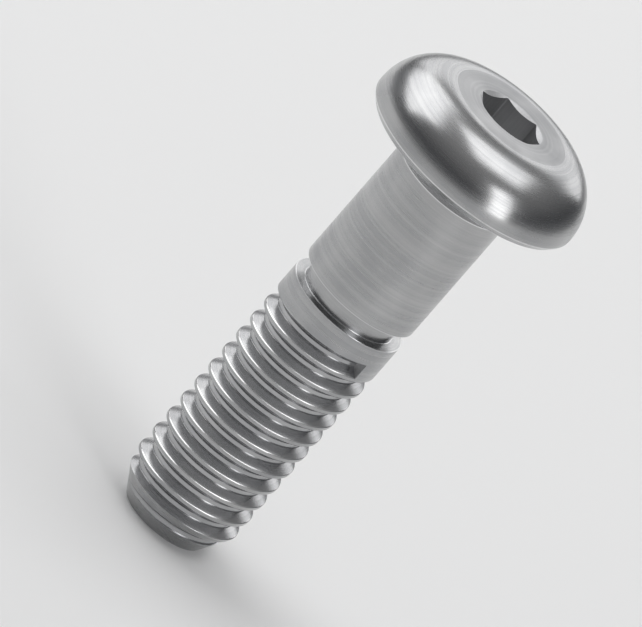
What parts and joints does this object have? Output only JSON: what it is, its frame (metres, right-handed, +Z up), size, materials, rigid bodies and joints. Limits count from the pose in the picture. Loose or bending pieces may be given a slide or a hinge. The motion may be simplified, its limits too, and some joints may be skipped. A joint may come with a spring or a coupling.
{
  "type": "clamp screw",
  "caption": "Clamp screw with a low round head, a hex socket, a plain shank, a relief neck and a right-hand thread with a coned end.",
  "frame": {"origin": "middle of the flat end of the thread, on the screw's axis", "axes": "+Z up the axis from the thread's end to the head, +X through the blunt end of the thread's groove and the middle of one flat of the socket"},
  "size_m": [0.011, 0.011, 0.025],
  "materials": {
    "steel": "turned bright, satin"
  },
  "bodies": {
    "root": {"clamp_screw": "steel"}
  },
  "joints": []
}
